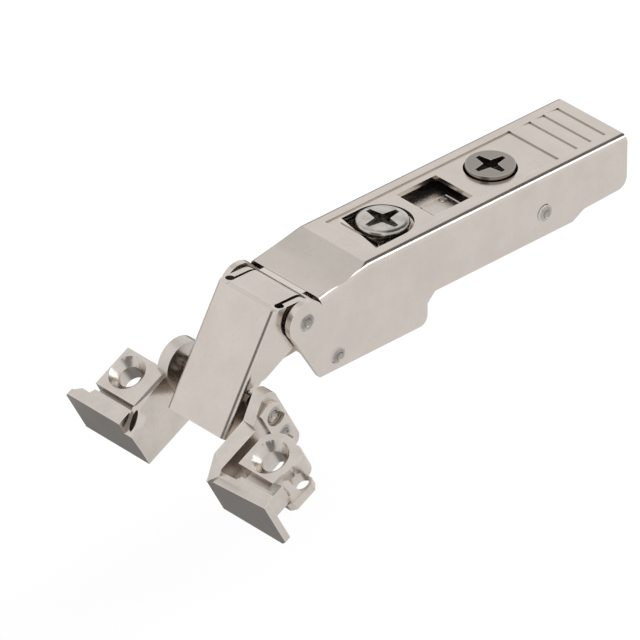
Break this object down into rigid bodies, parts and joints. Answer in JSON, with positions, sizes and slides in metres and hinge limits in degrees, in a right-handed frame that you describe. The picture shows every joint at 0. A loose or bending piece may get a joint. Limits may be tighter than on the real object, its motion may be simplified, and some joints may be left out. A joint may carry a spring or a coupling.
{
  "type": "concealed furniture hinge",
  "caption": "Clip-on concealed cabinet hinge with a stamped arm, crossed links and two cast brackets that screw to a slim metal door frame.",
  "frame": {"origin": "the clip seat: middle of the plane where the clip channel's lower edges meet the mounting plate", "axes": "+X along the arm to its rear end, +Y along the pins to the left bracket, +Z out of the arm's top"},
  "size_m": [0.1023, 0.0518, 0.035],
  "materials": {
    "arm_nickel": "satin nickel plate on stamped steel",
    "link_nickel": "satin nickel plate on stamped steel",
    "cast_zinc": "nickel plate on die-cast zinc",
    "screw_steel": "nickel-plated screw steel",
    "channel_steel": "nickel plate, shaded inside the arm",
    "steel": "plated rivet steel"
  },
  "bodies": {
    "clip_channel": {"clip_channel": "channel_steel", "front_hook_pin": "steel", "lever_pin": "steel"},
    "release_lever": {"release_lever": "channel_steel"},
    "adjust_plate": {"adjust_plate": "channel_steel", "rear_pin": "steel"},
    "depth_screw": {"depth_screw": "screw_steel"},
    "arm": {"arm_shell": "arm_nickel", "closing_spring": "steel", "knuckle_pin": "steel", "arm_link_pin": "steel"},
    "side_screw": {"side_screw": "screw_steel"},
    "outer_link": {"outer_link": "link_nickel", "knuckle_washer_left": "steel", "knuckle_washer_right": "steel"},
    "inner_link": {"inner_link": "link_nickel"},
    "brackets": {"left_bracket": "cast_zinc", "right_bracket": "cast_zinc", "lower_bracket_pin": "steel", "upper_bracket_pin": "steel", "spacer_left": "steel", "spacer_right": "steel"}
  },
  "joints": [
    {"name": "release_lever_press", "type": "hinge", "parent": "clip_channel", "child": "release_lever", "pos_m": [0.0226, 0, 0.004], "axis": [0, 1, 0], "range_deg": [0, 8], "stiffness_Nm_per_rad": 0.05},
    {"name": "depth_slide", "type": "slide", "parent": "clip_channel", "child": "adjust_plate", "axis": [1, 0, 0], "range_m": [-0.002, 0.002]},
    {"name": "depth_screw_turn", "type": "hinge", "parent": "adjust_plate", "child": "depth_screw", "pos_m": [0.0061, 0, 0.0056], "axis": [0, 0, 1], "range_deg": [-90, 90]},
    {"name": "side_tilt", "type": "hinge", "parent": "adjust_plate", "child": "arm", "pos_m": [0.0107, 0, 0.0036], "axis": [0, 1, 0], "range_deg": [-1.8, 1.8]},
    {"name": "side_screw_turn", "type": "hinge", "parent": "arm", "child": "side_screw", "pos_m": [-0.0198, 0, 0.0056], "axis": [0, 0, 1], "range_deg": [-360, 360]},
    {"name": "bracket_fold", "type": "hinge", "parent": "outer_link", "child": "brackets", "pos_m": [-0.05426, 0, -0.0116], "axis": [0, 1, 0], "range_deg": [0, 70.56]},
    {"name": "outer_link_swing", "type": "hinge", "parent": "arm", "child": "outer_link", "pos_m": [-0.046, 0, 0.0056], "axis": [0, 1, 0], "range_deg": [0, 34.49]},
    {"name": "inner_link_swing", "type": "hinge", "parent": "arm", "child": "inner_link", "pos_m": [-0.0387, 0, -0.0043], "axis": [0, 1, 0], "range_deg": [0, 15.06]}
  ],
  "couplings": [
    {"joint": "outer_link_swing", "follows": "bracket_fold", "ratio": 0.4881},
    {"joint": "inner_link_swing", "follows": "bracket_fold", "ratio": 0.2128},
    {"joint": "depth_screw_turn", "follows": "depth_slide", "rad_per_m": 785.39},
    {"joint": "side_screw_turn", "follows": "side_tilt", "ratio": 199.99}
  ]
}
